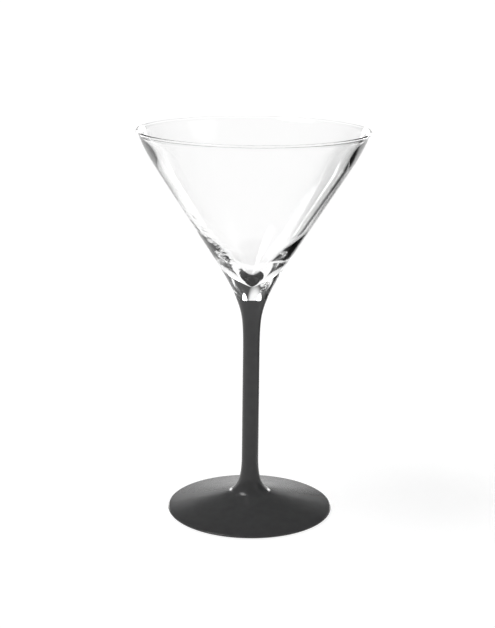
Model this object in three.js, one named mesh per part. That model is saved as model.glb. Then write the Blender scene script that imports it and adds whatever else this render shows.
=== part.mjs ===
// Martini glass: a clear conical bowl on a slender stem and a wide, shallow foot.
// Bowl, stem and foot are three glass pieces fused end to end, and one thin black lacquer film
// covers the bowl's neck, the stem, the top of the foot and its edge. The underside stays bare.
// Every piece is turned about +Z. Units are millimetres, and the origin is the centre of the
// plane that the foot rests on.

import * as THREE from 'three';

// Driving dimensions
const HEIGHT = 190; // resting plane to rim
const RIM_RADIUS = 55.5; // widest point of the rim's bead
const BEAD = 0.65; // radius of the fire-polished bead
const FOOT_RADIUS = 40.7; // glass foot, without the film
const STEM_RADIUS = 4.04; // glass stem at mid height, without the film
const FILM = 0.1; // thickness of the lacquer film
const SEGMENTS = 48; // facets round the axis

// Levels above the resting plane
const EDGE_FOOT = 0.7; // the foot's rounded edge: its lowest, widest ...
const EDGE_MIDDLE = 1.25;
const EDGE_TOP = 1.75; // ... and highest level
const UNDER_RISE = 2.8; // height of the hollow under the foot
const HUB = 9; // the foot's shallow cone turns up into the flare here
const STEM_WELD = 14; // foot fused to stem
const SHANK_FOOT = 27; // the stem's long straight part
const SHANK_TOP = 82;
const BOWL_WELD = 98; // stem fused to bowl
const FILM_TOP = 108.9; // where the lacquer stops and the clear glass starts
const CONE_FOOT = 128; // the bowl's wall runs straight from here ...
const LIP_FOOT = 172.8; // ... to here, and turns more upright above
const LIP_TOP = 188; // the bead starts here
const BEAD_CENTRE = HEIGHT - BEAD;
const WALL_FOOT = 144.8; // the inside runs straight down to here and bends into the well below
const WELL_FLOOR = 117; // lowest point of the hollow
const WELL_REACH = 14; // how far the wall's line still guides the well below its foot

// Glass radii at those levels
const RING_INSIDE = 34.5; // flat ring that the foot rests on
const RING_OUTSIDE = 37.8;
const EDGE_FOOT_RADIUS = FOOT_RADIUS - 0.6;
const EDGE_TOP_RADIUS = FOOT_RADIUS - 0.8;
const HUB_RADIUS = 10.4;
const SHANK_TOP_RADIUS = STEM_RADIUS - 0.06;
const STEM_WELD_RADIUS = 5.87;
const BOWL_WELD_RADIUS = 4.6;
const FILM_TOP_RADIUS = 7.7;
const CONE_FOOT_RADIUS = 18.1;
const LIP_FOOT_RADIUS = 46.6;
const LIP_TOP_RADIUS = RIM_RADIUS - 1.2;
const LIP_WALL = 1.2; // thickness of the wall, measured level, under the bead ...
const CONE_WALL = 2.4; // ... and where the lip starts
const WALL_FOOT_INSIDE = 25.5;
const WELL_TIP = 2; // the larger, the flatter the well's floor

// How far the surface spreads outwards for each millimetre that it rises
const WELD_SPREAD = 0.13;
const NECK_SPREAD = 0.43;
const CONE_SPREAD = (LIP_FOOT_RADIUS - CONE_FOOT_RADIUS) / (LIP_FOOT - CONE_FOOT);
const LIP_SPREAD = 0.35;
const FLARE_SPREAD = -0.47;
const HUB_SPREAD = -3.58;

const glass = () => new THREE.MeshStandardMaterial({
  color: 0xf4f6f6,
  roughness: 0.02,
  metalness: 0,
  transparent: true,
  opacity: 0.35,
  side: THREE.DoubleSide,
});

const lacquer = () => new THREE.MeshStandardMaterial({
  color: 0x1c1c1d,
  roughness: 0.32,
  metalness: 0,
});

// A smooth bend from one point to the next. It leaves and arrives at the given spreads, so
// bends that share an end point and a spread run on without a kink.
function bend(from, fromSpread, to, toSpread, steps) {
  const rise = (to.x - from.x - toSpread * (to.y - from.y)) / (fromSpread - toSpread);
  const corner = new THREE.Vector2(from.x + fromSpread * rise, from.y + rise);
  return new THREE.QuadraticBezierCurve(from, corner, to).getPoints(steps);
}

// Joins runs of points into one outline and drops the points that two runs share.
function joined(...runs) {
  const outline = [];
  for (const point of runs.flat()) {
    const last = outline.at(-1);
    if (!last || last.distanceTo(point) > 1e-6) outline.push(point);
  }
  return outline;
}

// The outline moved sideways by a distance, to the right of its direction of travel.
function offset(outline, distance) {
  return outline.map((point, i) => {
    const before = outline[Math.max(i - 1, 0)];
    const after = outline[Math.min(i + 1, outline.length - 1)];
    const along = after.clone().sub(before).normalize();
    return new THREE.Vector2(point.x + along.y * distance, point.y - along.x * distance);
  });
}

function turned(name, outline, material) {
  const geometry = new THREE.LatheGeometry(outline, SEGMENTS);
  geometry.rotateX(Math.PI / 2);
  const mesh = new THREE.Mesh(geometry, material);
  mesh.name = name;
  return mesh;
}

const at = (radius, level) => new THREE.Vector2(radius, level);

const stemWeld = at(STEM_WELD_RADIUS, STEM_WELD);
const bowlWeld = at(BOWL_WELD_RADIUS, BOWL_WELD);
const filmTop = at(FILM_TOP_RADIUS, FILM_TOP);

// Outside of the bowl, upwards: the neck that the film covers, then the clear part
function neckOutside() {
  return bend(bowlWeld, WELD_SPREAD, filmTop, NECK_SPREAD, 4);
}

function bowlOutside() {
  const coneFoot = at(CONE_FOOT_RADIUS, CONE_FOOT);
  const lipFoot = at(LIP_FOOT_RADIUS, LIP_FOOT);
  const lipTop = at(LIP_TOP_RADIUS, LIP_TOP);
  return joined(
    bend(filmTop, NECK_SPREAD, coneFoot, CONE_SPREAD, 5),
    bend(lipFoot, CONE_SPREAD, lipTop, LIP_SPREAD, 5),
  );
}

// The rounded rim, from its outside over the top to its inside
function rimBead() {
  const start = THREE.MathUtils.degToRad(-50);
  const end = THREE.MathUtils.degToRad(200);
  const arc = new THREE.Path().absarc(RIM_RADIUS - BEAD, BEAD_CENTRE, BEAD, start, end, false);
  return arc.getPoints(7);
}

// Inside of the bowl, downwards: the wall thickens towards the solid base, and the hollow
// ends in a small round-bottomed well
function bowlInside() {
  const lipTop = at(LIP_TOP_RADIUS - LIP_WALL, LIP_TOP);
  const lipFoot = at(LIP_FOOT_RADIUS - CONE_WALL, LIP_FOOT);
  const wallFoot = at(WALL_FOOT_INSIDE, WALL_FOOT);
  const spread = (lipFoot.x - wallFoot.x) / (lipFoot.y - wallFoot.y);
  const corner = at(wallFoot.x - spread * WELL_REACH, wallFoot.y - WELL_REACH);
  const well = new THREE.CubicBezierCurve(wallFoot, corner, at(WELL_TIP, WELL_FLOOR), at(0, WELL_FLOOR));
  return joined(bend(lipTop, LIP_SPREAD, lipFoot, spread, 5), well.getPoints(10));
}

// Outside of the stem, upwards: flare, long straight shank, upper taper
function stemOutside() {
  const shankFoot = at(STEM_RADIUS, SHANK_FOOT);
  const shankTop = at(SHANK_TOP_RADIUS, SHANK_TOP);
  return joined(
    bend(stemWeld, FLARE_SPREAD, shankFoot, 0, 4),
    bend(shankTop, 0, bowlWeld, WELD_SPREAD, 3),
  );
}

// Outside of the foot, from the weld down over the shallow cone, a little hollow in its
// middle, and round the edge
function footOutside() {
  const hub = at(HUB_RADIUS, HUB);
  const middle = at(26, 4.55);
  const edgeTop = at(EDGE_TOP_RADIUS, EDGE_TOP);
  const widest = at(FOOT_RADIUS, EDGE_MIDDLE);
  const edgeFoot = at(EDGE_FOOT_RADIUS, EDGE_FOOT);
  const cone = new THREE.QuadraticBezierCurve(hub, middle, edgeTop);
  const shoulder = new THREE.QuadraticBezierCurve(edgeTop, at(FOOT_RADIUS, EDGE_TOP - 0.1), widest);
  const undercut = new THREE.QuadraticBezierCurve(widest, at(FOOT_RADIUS, EDGE_FOOT + 0.1), edgeFoot);
  return joined(
    bend(stemWeld, FLARE_SPREAD, hub, HUB_SPREAD, 4),
    cone.getPoints(4),
    shoulder.getPoints(3),
    undercut.getPoints(3),
  );
}

// Underside of the foot, towards the axis: it falls to a flat resting ring round a shallow hollow
function footUnderside() {
  const edgeFoot = at(EDGE_FOOT_RADIUS, EDGE_FOOT);
  const ringOutside = at(RING_OUTSIDE, 0);
  const ringInside = at(RING_INSIDE, 0);
  const fall = new THREE.QuadraticBezierCurve(edgeFoot, at(RING_OUTSIDE + 0.9, EDGE_FOOT / 3), ringOutside);
  const shoulder = at(RING_INSIDE - 5, 1.6);
  const roof = at(16, UNDER_RISE);
  const hollow = new THREE.CubicBezierCurve(ringInside, shoulder, roof, at(0, UNDER_RISE));
  return joined(fall.getPoints(2), hollow.getPoints(5));
}

function bowl() {
  const outline = joined([at(0, BOWL_WELD)], neckOutside(), bowlOutside(), rimBead(), bowlInside());
  return turned('bowl', outline, glass());
}

function stem() {
  const outline = joined([at(0, STEM_WELD)], stemOutside(), [at(0, BOWL_WELD)]);
  return turned('stem', outline, glass());
}

function foot() {
  const outline = joined([at(0, STEM_WELD)], footOutside(), footUnderside());
  return turned('foot', outline.reverse(), glass());
}

// The film's inner face is the glass surface itself, and its outer face lies one thickness out
function lacquerFilm() {
  const inner = joined(neckOutside().reverse(), stemOutside().reverse(), footOutside());
  const outer = offset(inner, -FILM);
  const outline = joined(outer.reverse(), inner, [outer[0]]);
  return turned('lacquer_film', outline, lacquer());
}

const martiniGlass = new THREE.Group();
martiniGlass.name = 'martini_glass';
martiniGlass.add(foot(), stem(), bowl(), lacquerFilm());

export default martiniGlass;
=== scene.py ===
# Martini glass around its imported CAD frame: clear glass bowl, black lacquered stem and foot,
# a plain pale floor and plain soft studio light. Blender units are metres, +Z is up.

import math

import bpy
from mathutils import Matrix, Vector


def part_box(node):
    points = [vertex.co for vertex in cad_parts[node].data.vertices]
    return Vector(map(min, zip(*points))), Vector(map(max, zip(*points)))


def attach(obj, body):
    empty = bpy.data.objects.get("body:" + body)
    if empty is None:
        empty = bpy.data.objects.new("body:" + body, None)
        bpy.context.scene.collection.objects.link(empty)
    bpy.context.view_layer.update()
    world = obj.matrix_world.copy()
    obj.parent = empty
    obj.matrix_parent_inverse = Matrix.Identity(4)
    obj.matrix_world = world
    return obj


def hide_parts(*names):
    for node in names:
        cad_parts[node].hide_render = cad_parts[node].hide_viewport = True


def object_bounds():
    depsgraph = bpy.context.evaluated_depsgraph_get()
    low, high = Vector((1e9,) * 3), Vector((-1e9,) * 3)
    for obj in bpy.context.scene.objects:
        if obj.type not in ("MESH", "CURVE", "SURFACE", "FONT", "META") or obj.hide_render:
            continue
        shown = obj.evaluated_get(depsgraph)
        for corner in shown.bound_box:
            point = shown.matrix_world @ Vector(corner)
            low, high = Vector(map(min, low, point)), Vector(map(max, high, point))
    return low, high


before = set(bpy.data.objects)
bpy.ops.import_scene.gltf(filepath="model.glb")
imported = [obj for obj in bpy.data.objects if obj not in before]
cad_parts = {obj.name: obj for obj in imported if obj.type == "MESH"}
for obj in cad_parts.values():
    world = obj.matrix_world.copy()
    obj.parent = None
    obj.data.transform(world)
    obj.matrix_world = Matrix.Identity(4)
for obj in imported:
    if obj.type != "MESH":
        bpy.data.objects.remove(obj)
cad_low, cad_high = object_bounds()

# Driving sizes, read from the frame
MM = 0.001
HEIGHT = cad_high.z
RIM_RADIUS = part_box("bowl")[1].x
FOOT_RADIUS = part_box("foot")[1].x
STEM_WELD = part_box("stem")[0].z
BOWL_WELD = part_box("stem")[1].z
FILM_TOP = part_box("lacquer_film")[1].z
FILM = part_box("lacquer_film")[1].x - FOOT_RADIUS

# Sizes that the boxes don't give, in metres
BEAD = 0.65 * MM
BEAD_START_DEG = -50
BEAD_END_DEG = 200
BEAD_STEP_DEG = 10
FILM_BITE = 0.02 * MM  # of the film into the glass under it, so that no gap shows between them
STEM_RADIUS = 4.04 * MM
LIP_WALL = 1.2 * MM
CONE_WALL = 2.4 * MM
EDGE_FOOT = 0.7 * MM
EDGE_MIDDLE = 1.25 * MM
EDGE_TOP = 1.75 * MM
EDGE_ROUNDING = 0.1 * MM  # how far past the edge's ends its sides would meet
UNDER_RISE = 2.8 * MM
HOLLOW_WALL_RISE = 1.6 * MM
CONE_BELLY = 4.55 * MM
HUB = 9 * MM
SHANK_FOOT = 27 * MM
SHANK_TOP = 82 * MM
WELL_FLOOR = 117 * MM
WELL_REACH = 14 * MM
WELL_TIP = 2 * MM
CONE_FOOT = 128 * MM
WALL_FOOT = 144.8 * MM
LIP_FOOT = 172.8 * MM
LIP_TOP = 188 * MM
HOLLOW_ROOF_RADIUS = 16 * MM
HOLLOW_WALL_RADIUS = 29.5 * MM
RING_INSIDE = 34.5 * MM
RING_OUTSIDE = 37.8 * MM
RING_FILLET_RADIUS = 38.7 * MM
EDGE_FOOT_RADIUS = FOOT_RADIUS - 0.6 * MM
EDGE_TOP_RADIUS = FOOT_RADIUS - 0.8 * MM
HUB_RADIUS = 10.4 * MM
CONE_BELLY_RADIUS = 26 * MM
STEM_WELD_RADIUS = 5.87 * MM
SHANK_TOP_RADIUS = STEM_RADIUS - 0.06 * MM
BOWL_WELD_RADIUS = 4.6 * MM
FILM_TOP_RADIUS = 7.7 * MM
CONE_FOOT_RADIUS = 18.1 * MM
WALL_FOOT_INSIDE = 25.5 * MM
LIP_FOOT_RADIUS = 46.6 * MM
LIP_TOP_RADIUS = RIM_RADIUS - 1.2 * MM

# Radius gained for each unit of rise
WELD_SPREAD = 0.13
NECK_SPREAD = 0.43
CONE_SPREAD = (LIP_FOOT_RADIUS - CONE_FOOT_RADIUS) / (LIP_FOOT - CONE_FOOT)
LIP_SPREAD = 0.35
FLARE_SPREAD = -0.47
HUB_SPREAD = -3.58

IOR = 1.5  # of the glass and of the lacquer

# Noise: features per metre, then octaves past the first
GLASS_WIPE = (90, 4)
GLASS_WAVES = (55, 2)
GLASS_MARKS = (160, 2)
LACQUER_TINT = (220, 5)
LACQUER_GLOSS = (140, 4)
LACQUER_PEEL = (700, 1)
LACQUER_DUST = (4000, 2)
FLOOR_GRAIN = (300, 3)
NOISE_RANGE = (0.3, 0.7)  # of the noise values that a spread uses

GLASS_ROUGHNESS = (0.0, 0.012)
GLASS_WAVE_DEPTH = 0.015 * MM
GLASS_MARK_DEPTH = 0.13 * MM
MARK_SIDE = (-0.004, -0.014)  # x where the marks start and where they are full
MARK_HEIGHT = (0.162, 0.146)  # z where the marks start and where they are full
LACQUER_DARK = (0.055, 0.055, 0.056, 1)
LACQUER_LIGHT = (0.063, 0.063, 0.064, 1)
LACQUER_ROUGHNESS = (0.2, 0.26)
LACQUER_SPECULAR = 0.2
PEEL_DEPTH = 0.003 * MM
DUST_DEPTH = 0.0004 * MM

FLOOR_HALF_SIDE = 12
FLOOR_SHADE = (0.23, 0.27)
FLOOR_ROUGHNESS = 0.9
TABLE_LIGHT = 0.88  # of the lit table top, beside what falls on it
ROOM_LIGHT = 0.04
HORIZON_LIGHT = 1.15
HORIZON_FADE = (0.08, 0.2)  # sines of the heights where the horizon's light starts to fade and ends
BACKDROP_LIGHT = 1.15
SOFTBOXES = (  # direction from the glass, half angles where full light ends and where it fades out, light
    ((-0.14, 1, 0), 16, 24, 1.0),
    ((-0.36, 1, 0.2), 3, 9, 12.0),
    ((0.36, 1, 0.2), 3, 9, 12.0),
    ((-0.5, -0.1, 1), 9, 13, 16.0),
    ((0.82, -0.47, 0.5), 8, 18, 1.3),
)
CARD_TURN_DEG = -14
CARD_LOW = (0.068, 0.02)
CARD_HIGH = (0.7, 0.5)
CARD_LEVEL = 0.5 * MM
CARD_SIDE_FADE = 0.014
CARD_END_FADE = 0.12
CARD_SHADE = (0.07, 0.07, 0.07, 1)

# The camera, in glass heights
CAMERA_ASIDE = -0.0107
CAMERA_DISTANCE = 3.5053
CAMERA_HEIGHT = 1.4434
CAMERA_PITCH_DEG = 14.63
CAMERA_ROLL_DEG = 0.63
CAMERA_LENS = 81.3
CAMERA_SENSOR = 36
CAMERA_CLIP = (0.01, 100)

GLOSSY_BOUNCES = 8
TRANSMISSION_BOUNCES = 16
ALL_BOUNCES = 24

SAME_POINT = 1e-8
ON_AXIS = 1e-9
SEGMENTS = 256  # round the axis
STEPS = 24  # points on each bend


def at(radius, level):
    return Vector((radius, level))


def curve(points, steps):
    """Points along the quadratic or cubic Bezier curve that has these control points."""
    order = len(points) - 1
    weights = [math.comb(order, k) for k in range(order + 1)]
    line = []
    for i in range(steps + 1):
        t = i / steps
        line.append(sum(
            (p * (w * t**k * (1 - t) ** (order - k)) for k, (p, w) in enumerate(zip(points, weights))),
            Vector((0, 0)),
        ))
    return line


def bend(start, start_spread, end, end_spread, steps=STEPS):
    """A smooth bend that leaves and arrives at the given spreads, radius gained per rise."""
    rise = (end.x - start.x - end_spread * (end.y - start.y)) / (start_spread - end_spread)
    corner = at(start.x + start_spread * rise, start.y + rise)
    return curve([start, corner, end], steps)


def joined(*runs):
    outline = []
    for run in runs:
        for point in run:
            if not outline or (outline[-1] - point).length > SAME_POINT:
                outline.append(point)
    return outline


def offset(outline, distance):
    """The outline moved sideways, to the right of its direction of travel."""
    moved = []
    for i, point in enumerate(outline):
        along = outline[min(i + 1, len(outline) - 1)] - outline[max(i - 1, 0)]
        along.normalize()
        moved.append(at(point.x + along.y * distance, point.y - along.x * distance))
    return moved


def turned(name, outline, closed=False, sharp_deg=35):
    """A closed mesh turned about +Z. The outline runs counter-clockwise, radius to the right,
    and either starts and ends on the axis or, when closed, joins its own start."""
    vertices = []
    rings = []
    for point in outline:
        if point.x < ON_AXIS:
            rings.append([len(vertices)])
            vertices.append((0, 0, point.y))
            continue
        rings.append(range(len(vertices), len(vertices) + SEGMENTS))
        for i in range(SEGMENTS):
            angle = 2 * math.pi * i / SEGMENTS
            vertices.append((point.x * math.cos(angle), point.x * math.sin(angle), point.y))
    faces = []
    pairs = list(zip(rings, rings[1:]))
    if closed:
        pairs.append((rings[-1], rings[0]))
    for lower, upper in pairs:
        for i in range(SEGMENTS):
            j = (i + 1) % SEGMENTS
            if len(lower) == 1:
                faces.append((lower[0], upper[j], upper[i]))
            elif len(upper) == 1:
                faces.append((lower[i], lower[j], upper[0]))
            else:
                faces.append((lower[i], lower[j], upper[j], upper[i]))
    mesh = bpy.data.meshes.new(name)
    mesh.from_pydata(vertices, [], faces)
    mesh.polygons.foreach_set("use_smooth", [True] * len(faces))
    mesh.set_sharp_from_angle(angle=math.radians(sharp_deg))
    mesh.update()
    piece = bpy.data.objects.new(name, mesh)
    bpy.context.scene.collection.objects.link(piece)
    return piece


stem_weld = at(STEM_WELD_RADIUS, STEM_WELD)
bowl_weld = at(BOWL_WELD_RADIUS, BOWL_WELD)
film_top = at(FILM_TOP_RADIUS, FILM_TOP)


def neck_outside():
    return bend(bowl_weld, WELD_SPREAD, film_top, NECK_SPREAD)


def bowl_outside():
    cone_foot = at(CONE_FOOT_RADIUS, CONE_FOOT)
    lip_foot = at(LIP_FOOT_RADIUS, LIP_FOOT)
    lip_top = at(LIP_TOP_RADIUS, LIP_TOP)
    return joined(
        bend(film_top, NECK_SPREAD, cone_foot, CONE_SPREAD),
        curve([cone_foot, lip_foot], STEPS),
        bend(lip_foot, CONE_SPREAD, lip_top, LIP_SPREAD),
    )


def rim_bead():
    centre = at(RIM_RADIUS - BEAD, HEIGHT - BEAD)
    turn = range(BEAD_START_DEG, BEAD_END_DEG + BEAD_STEP_DEG, BEAD_STEP_DEG)
    return [centre + at(math.cos(math.radians(a)), math.sin(math.radians(a))) * BEAD for a in turn]


def bowl_inside():
    lip_top = at(LIP_TOP_RADIUS - LIP_WALL, LIP_TOP)
    lip_foot = at(LIP_FOOT_RADIUS - CONE_WALL, LIP_FOOT)
    wall_foot = at(WALL_FOOT_INSIDE, WALL_FOOT)
    spread = (lip_foot.x - wall_foot.x) / (lip_foot.y - wall_foot.y)
    corner = at(wall_foot.x - spread * WELL_REACH, wall_foot.y - WELL_REACH)
    well = [wall_foot, corner, at(WELL_TIP, WELL_FLOOR), at(0, WELL_FLOOR)]
    return joined(
        bend(lip_top, LIP_SPREAD, lip_foot, spread),
        curve([lip_foot, wall_foot], STEPS),
        curve(well, 3 * STEPS),
    )


def stem_outside():
    shank_foot = at(STEM_RADIUS, SHANK_FOOT)
    shank_top = at(SHANK_TOP_RADIUS, SHANK_TOP)
    return joined(
        bend(stem_weld, FLARE_SPREAD, shank_foot, 0),
        bend(shank_top, 0, bowl_weld, WELD_SPREAD),
    )


def foot_outside():
    hub = at(HUB_RADIUS, HUB)
    belly = at(CONE_BELLY_RADIUS, CONE_BELLY)
    edge_top = at(EDGE_TOP_RADIUS, EDGE_TOP)
    widest = at(FOOT_RADIUS, EDGE_MIDDLE)
    edge_foot = at(EDGE_FOOT_RADIUS, EDGE_FOOT)
    return joined(
        bend(stem_weld, FLARE_SPREAD, hub, HUB_SPREAD),
        curve([hub, belly, edge_top], STEPS),
        curve([edge_top, at(FOOT_RADIUS, EDGE_TOP - EDGE_ROUNDING), widest], STEPS),
        curve([widest, at(FOOT_RADIUS, EDGE_FOOT + EDGE_ROUNDING), edge_foot], STEPS),
    )


def foot_underside():
    edge_foot = at(EDGE_FOOT_RADIUS, EDGE_FOOT)
    ring_outside = at(RING_OUTSIDE, 0)
    ring_inside = at(RING_INSIDE, 0)
    fillet = at(RING_FILLET_RADIUS, EDGE_FOOT / 3)
    hollow_wall = at(HOLLOW_WALL_RADIUS, HOLLOW_WALL_RISE)
    hollow_roof = at(HOLLOW_ROOF_RADIUS, UNDER_RISE)
    return joined(
        curve([edge_foot, fillet, ring_outside], STEPS),
        curve([ring_inside, hollow_wall, hollow_roof, at(0, UNDER_RISE)], STEPS),
    )


def make_bowl():
    outline = joined([at(0, BOWL_WELD)], neck_outside(), bowl_outside(), rim_bead(), bowl_inside())
    return turned("bowl_glass", outline)


def make_stem():
    outline = joined([at(0, STEM_WELD)], stem_outside(), [at(0, BOWL_WELD)])
    return turned("stem_glass", outline)


def make_foot():
    outline = joined([at(0, STEM_WELD)], foot_outside(), foot_underside())
    return turned("foot_glass", outline[::-1])


def make_film():
    glass = joined(neck_outside()[::-1], stem_outside()[::-1], foot_outside())
    outer = offset(glass, -FILM)
    inner = offset(glass, FILM_BITE)
    return turned("lacquer_film_skin", outer[::-1] + inner, closed=True)


def principled(name):
    """A new node material with its shader and node tree."""
    material = bpy.data.materials.new(name)
    material.use_nodes = True
    tree = material.node_tree
    return material, tree, tree.nodes["Principled BSDF"]


def noise(tree, grain, stretch=(1, 1, 1)):
    """Noise in the piece's own coordinates."""
    scale, detail = grain
    place = tree.nodes.new("ShaderNodeTexCoord")
    mapping = tree.nodes.new("ShaderNodeMapping")
    texture = tree.nodes.new("ShaderNodeTexNoise")
    mapping.inputs["Scale"].default_value = stretch
    texture.inputs["Scale"].default_value = scale
    texture.inputs["Detail"].default_value = detail
    tree.links.new(place.outputs["Object"], mapping.inputs["Vector"])
    tree.links.new(mapping.outputs["Vector"], texture.inputs["Vector"])
    return texture.outputs["Fac"]


def spread(tree, value, low, high):
    """The noise value carried to the range from low to high."""
    ranged = tree.nodes.new("ShaderNodeMapRange")
    ranged.inputs["From Min"].default_value = NOISE_RANGE[0]
    ranged.inputs["From Max"].default_value = NOISE_RANGE[1]
    ranged.inputs["To Min"].default_value = low
    ranged.inputs["To Max"].default_value = high
    tree.links.new(value, ranged.inputs["Value"])
    return ranged.outputs["Result"]


def bumped(tree, shader, value, depth, under=None):
    """Relief of this depth, in metres, on the shader's normal; under is a relief below it."""
    bump = tree.nodes.new("ShaderNodeBump")
    bump.inputs["Distance"].default_value = depth
    bump.inputs["Strength"].default_value = 1.0
    tree.links.new(value, bump.inputs["Height"])
    if under:
        tree.links.new(under.outputs["Normal"], bump.inputs["Normal"])
    tree.links.new(bump.outputs["Normal"], shader.inputs["Normal"])
    return bump


def soft_step(tree, value, start, end):
    """0 up to start, 1 from end, smooth between them."""
    step = tree.nodes.new("ShaderNodeMapRange")
    step.interpolation_type = "SMOOTHSTEP"
    step.inputs["From Min"].default_value = start
    step.inputs["From Max"].default_value = end
    tree.links.new(value, step.inputs["Value"])
    return step.outputs["Result"]


def math_node(tree, operation, first, second):
    """The result of a math node on two sockets or numbers."""
    node = tree.nodes.new("ShaderNodeMath")
    node.operation = operation
    for socket, value in zip(node.inputs, (first, second)):
        if isinstance(value, (int, float)):
            socket.default_value = value
        else:
            tree.links.new(value, socket)
    return node.outputs["Value"]


def mark_area(tree):
    """1 low on the bowl's left side, where the mould left deeper marks, and 0 elsewhere."""
    place = tree.nodes.new("ShaderNodeSeparateXYZ")
    tree.links.new(tree.nodes.new("ShaderNodeTexCoord").outputs["Object"], place.inputs["Vector"])
    side = soft_step(tree, place.outputs["X"], *MARK_SIDE)
    low = soft_step(tree, place.outputs["Z"], *MARK_HEIGHT)
    return math_node(tree, "MULTIPLY", side, low)


def glass_material():
    """Clear pressed soda-lime glass with the faint waviness that it keeps from the mould."""
    material, tree, shader = principled("clear_glass")
    shader.inputs["Base Color"].default_value = (1, 1, 1, 1)
    shader.inputs["IOR"].default_value = IOR
    shader.inputs["Transmission Weight"].default_value = 1.0
    wipe = spread(tree, noise(tree, GLASS_WIPE, (1, 1, 0.3)), *GLASS_ROUGHNESS)
    tree.links.new(wipe, shader.inputs["Roughness"])
    waves = bumped(tree, shader, noise(tree, GLASS_WAVES, (1, 1, 0.6)), GLASS_WAVE_DEPTH)
    marks = math_node(tree, "MULTIPLY", noise(tree, GLASS_MARKS, (1, 1, 2)), mark_area(tree))
    bumped(tree, shader, marks, GLASS_MARK_DEPTH, under=waves)
    return material


def lacquer_material():
    """Sprayed black lacquer: a faint orange peel, a fine dust grain and uneven gloss."""
    material, tree, shader = principled("black_lacquer")
    shader.inputs["IOR"].default_value = IOR
    shader.inputs["Specular IOR Level"].default_value = LACQUER_SPECULAR
    mix = tree.nodes.new("ShaderNodeMix")
    mix.data_type = "RGBA"
    mix.inputs["A"].default_value = LACQUER_DARK
    mix.inputs["B"].default_value = LACQUER_LIGHT
    tree.links.new(spread(tree, noise(tree, LACQUER_TINT), 0, 1), mix.inputs["Factor"])
    tree.links.new(mix.outputs["Result"], shader.inputs["Base Color"])
    gloss = spread(tree, noise(tree, LACQUER_GLOSS), *LACQUER_ROUGHNESS)
    tree.links.new(gloss, shader.inputs["Roughness"])
    peel = bumped(tree, shader, noise(tree, LACQUER_PEEL), PEEL_DEPTH)
    bumped(tree, shader, noise(tree, LACQUER_DUST), DUST_DEPTH, under=peel)
    return material


glass = glass_material()
lacquer = lacquer_material()
for make, node, slot, material in (
    (make_bowl, "bowl", "clear_glass", glass),
    (make_stem, "stem", "clear_glass", glass),
    (make_foot, "foot", "clear_glass", glass),
    (make_film, "lacquer_film", "black_lacquer", lacquer),
):
    piece = make()
    piece.data.materials.append(material)
    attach(piece, "root")
    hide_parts(node)


def flat(name, low, high, level, material):
    """A level rectangle of the stage."""
    mesh = bpy.data.meshes.new(name)
    corners = [(low[0], low[1]), (high[0], low[1]), (high[0], high[1]), (low[0], high[1])]
    mesh.from_pydata([(x, y, level) for x, y in corners], [], [(0, 1, 2, 3)])
    mesh.materials.append(material)
    sheet = bpy.data.objects.new(name, mesh)
    bpy.context.scene.collection.objects.link(sheet)
    return sheet


def make_floor():
    """A pale table top, lit from below, that runs on behind the glass."""
    material, tree, shader = principled("pale_floor")
    grain = spread(tree, noise(tree, FLOOR_GRAIN), *FLOOR_SHADE)
    shade = tree.nodes.new("ShaderNodeCombineColor")
    for channel in ("Red", "Green", "Blue"):
        tree.links.new(grain, shade.inputs[channel])
    tree.links.new(shade.outputs["Color"], shader.inputs["Base Color"])
    shader.inputs["Roughness"].default_value = FLOOR_ROUGHNESS
    shader.inputs["Specular IOR Level"].default_value = 0.0
    shader.inputs["Emission Color"].default_value = (1, 1, 1, 1)
    shader.inputs["Emission Strength"].default_value = TABLE_LIGHT
    half = FLOOR_HALF_SIDE
    flat("floor", (-half, -half), (half, half), 0, material)


def make_card():
    """A dark card on the floor beside the glass, as studios lay to draw the edge of clear glass.
    Only the glass sees it: it is hidden from the camera and doesn't shade the floor."""
    material = bpy.data.materials.new("dark_card")
    material.use_nodes = True
    tree = material.node_tree
    tree.nodes.clear()
    place = tree.nodes.new("ShaderNodeSeparateXYZ")
    tree.links.new(tree.nodes.new("ShaderNodeTexCoord").outputs["Object"], place.inputs["Vector"])
    side = soft_step(tree, place.outputs["X"], CARD_LOW[0], CARD_LOW[0] + CARD_SIDE_FADE)
    near_end = soft_step(tree, place.outputs["Y"], CARD_LOW[1], CARD_LOW[1] + CARD_END_FADE)
    far_end = soft_step(tree, place.outputs["Y"], CARD_HIGH[1], CARD_HIGH[1] - CARD_END_FADE)
    ends = math_node(tree, "MULTIPLY", near_end, far_end)
    mix = tree.nodes.new("ShaderNodeMixShader")
    clear = tree.nodes.new("ShaderNodeBsdfTransparent")
    dark = tree.nodes.new("ShaderNodeBsdfDiffuse")
    dark.inputs["Color"].default_value = CARD_SHADE
    output = tree.nodes.new("ShaderNodeOutputMaterial")
    tree.links.new(math_node(tree, "MULTIPLY", side, ends), mix.inputs["Fac"])
    tree.links.new(clear.outputs["BSDF"], mix.inputs[1])
    tree.links.new(dark.outputs["BSDF"], mix.inputs[2])
    tree.links.new(mix.outputs["Shader"], output.inputs["Surface"])
    card = flat("dark_card", CARD_LOW, CARD_HIGH, CARD_LEVEL, material)
    card.rotation_euler.z = math.radians(CARD_TURN_DEG)
    card.visible_camera = False
    card.visible_diffuse = False
    card.visible_shadow = False


def softbox(tree, towards, direction, inner_deg, outer_deg, strength):
    """The light of a round softbox: full inside the inner half angle, none past the outer one."""
    facing = tree.nodes.new("ShaderNodeVectorMath")
    facing.operation = "DOT_PRODUCT"
    tree.links.new(towards, facing.inputs[0])
    facing.inputs[1].default_value = Vector(direction).normalized()
    start = math.cos(math.radians(outer_deg))
    full = math.cos(math.radians(inner_deg))
    return math_node(tree, "MULTIPLY", soft_step(tree, facing.outputs["Value"], start, full), strength)


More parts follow.
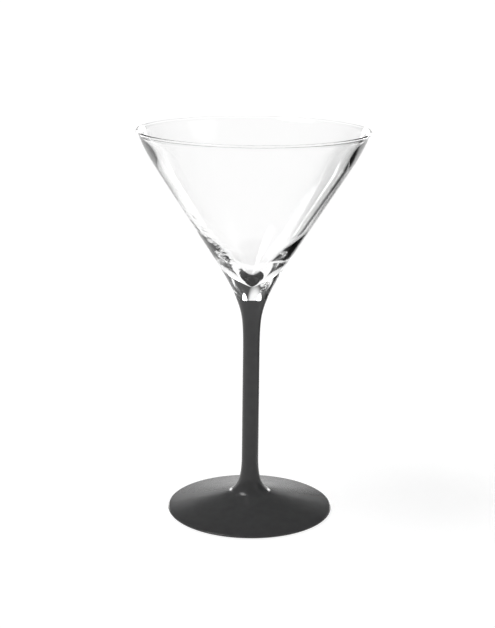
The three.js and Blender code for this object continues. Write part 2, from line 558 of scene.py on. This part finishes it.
def make_world():
    """A dim room with a bright horizon and soft lights, whose backdrop the camera sees white."""
    world = bpy.data.worlds.new("studio")
    bpy.context.scene.world = world
    world.use_nodes = True
    tree = world.node_tree
    towards = tree.nodes.new("ShaderNodeTexCoord").outputs["Generated"]
    height = tree.nodes.new("ShaderNodeSeparateXYZ")
    tree.links.new(towards, height.inputs["Vector"])
    low = soft_step(tree, height.outputs["Z"], HORIZON_FADE[1], HORIZON_FADE[0])
    light = math_node(tree, "ADD", math_node(tree, "MULTIPLY", low, HORIZON_LIGHT), ROOM_LIGHT)
    for box in SOFTBOXES:
        light = math_node(tree, "MAXIMUM", light, softbox(tree, towards, *box))
    seen = tree.nodes.new("ShaderNodeLightPath").outputs["Is Camera Ray"]
    backdrop = math_node(tree, "MULTIPLY", seen, BACKDROP_LIGHT)
    light = math_node(tree, "MAXIMUM", light, backdrop)
    tree.links.new(light, tree.nodes["Background"].inputs["Strength"])
    tree.nodes["Background"].inputs["Color"].default_value = (1, 1, 1, 1)


def make_camera():
    """At the height and distance that give the view its perspective."""
    place = Vector((CAMERA_ASIDE, -CAMERA_DISTANCE, CAMERA_HEIGHT)) * HEIGHT
    tilt = Matrix.Rotation(math.pi / 2 - math.radians(CAMERA_PITCH_DEG), 4, "X")
    roll = Matrix.Rotation(math.radians(CAMERA_ROLL_DEG), 4, "Z")
    data = bpy.data.cameras.new("camera")
    data.sensor_width = CAMERA_SENSOR
    data.lens = CAMERA_LENS
    data.clip_start, data.clip_end = CAMERA_CLIP
    camera = bpy.data.objects.new("camera", data)
    bpy.context.scene.collection.objects.link(camera)
    camera.matrix_world = Matrix.Translation(place) @ tilt @ roll
    bpy.context.scene.camera = camera


make_floor()
make_card()
make_world()
make_camera()
bpy.context.scene.view_settings.view_transform = "Standard"
bpy.context.scene.cycles.transmission_bounces = TRANSMISSION_BOUNCES
bpy.context.scene.cycles.glossy_bounces = GLOSSY_BOUNCES
bpy.context.scene.cycles.max_bounces = ALL_BOUNCES
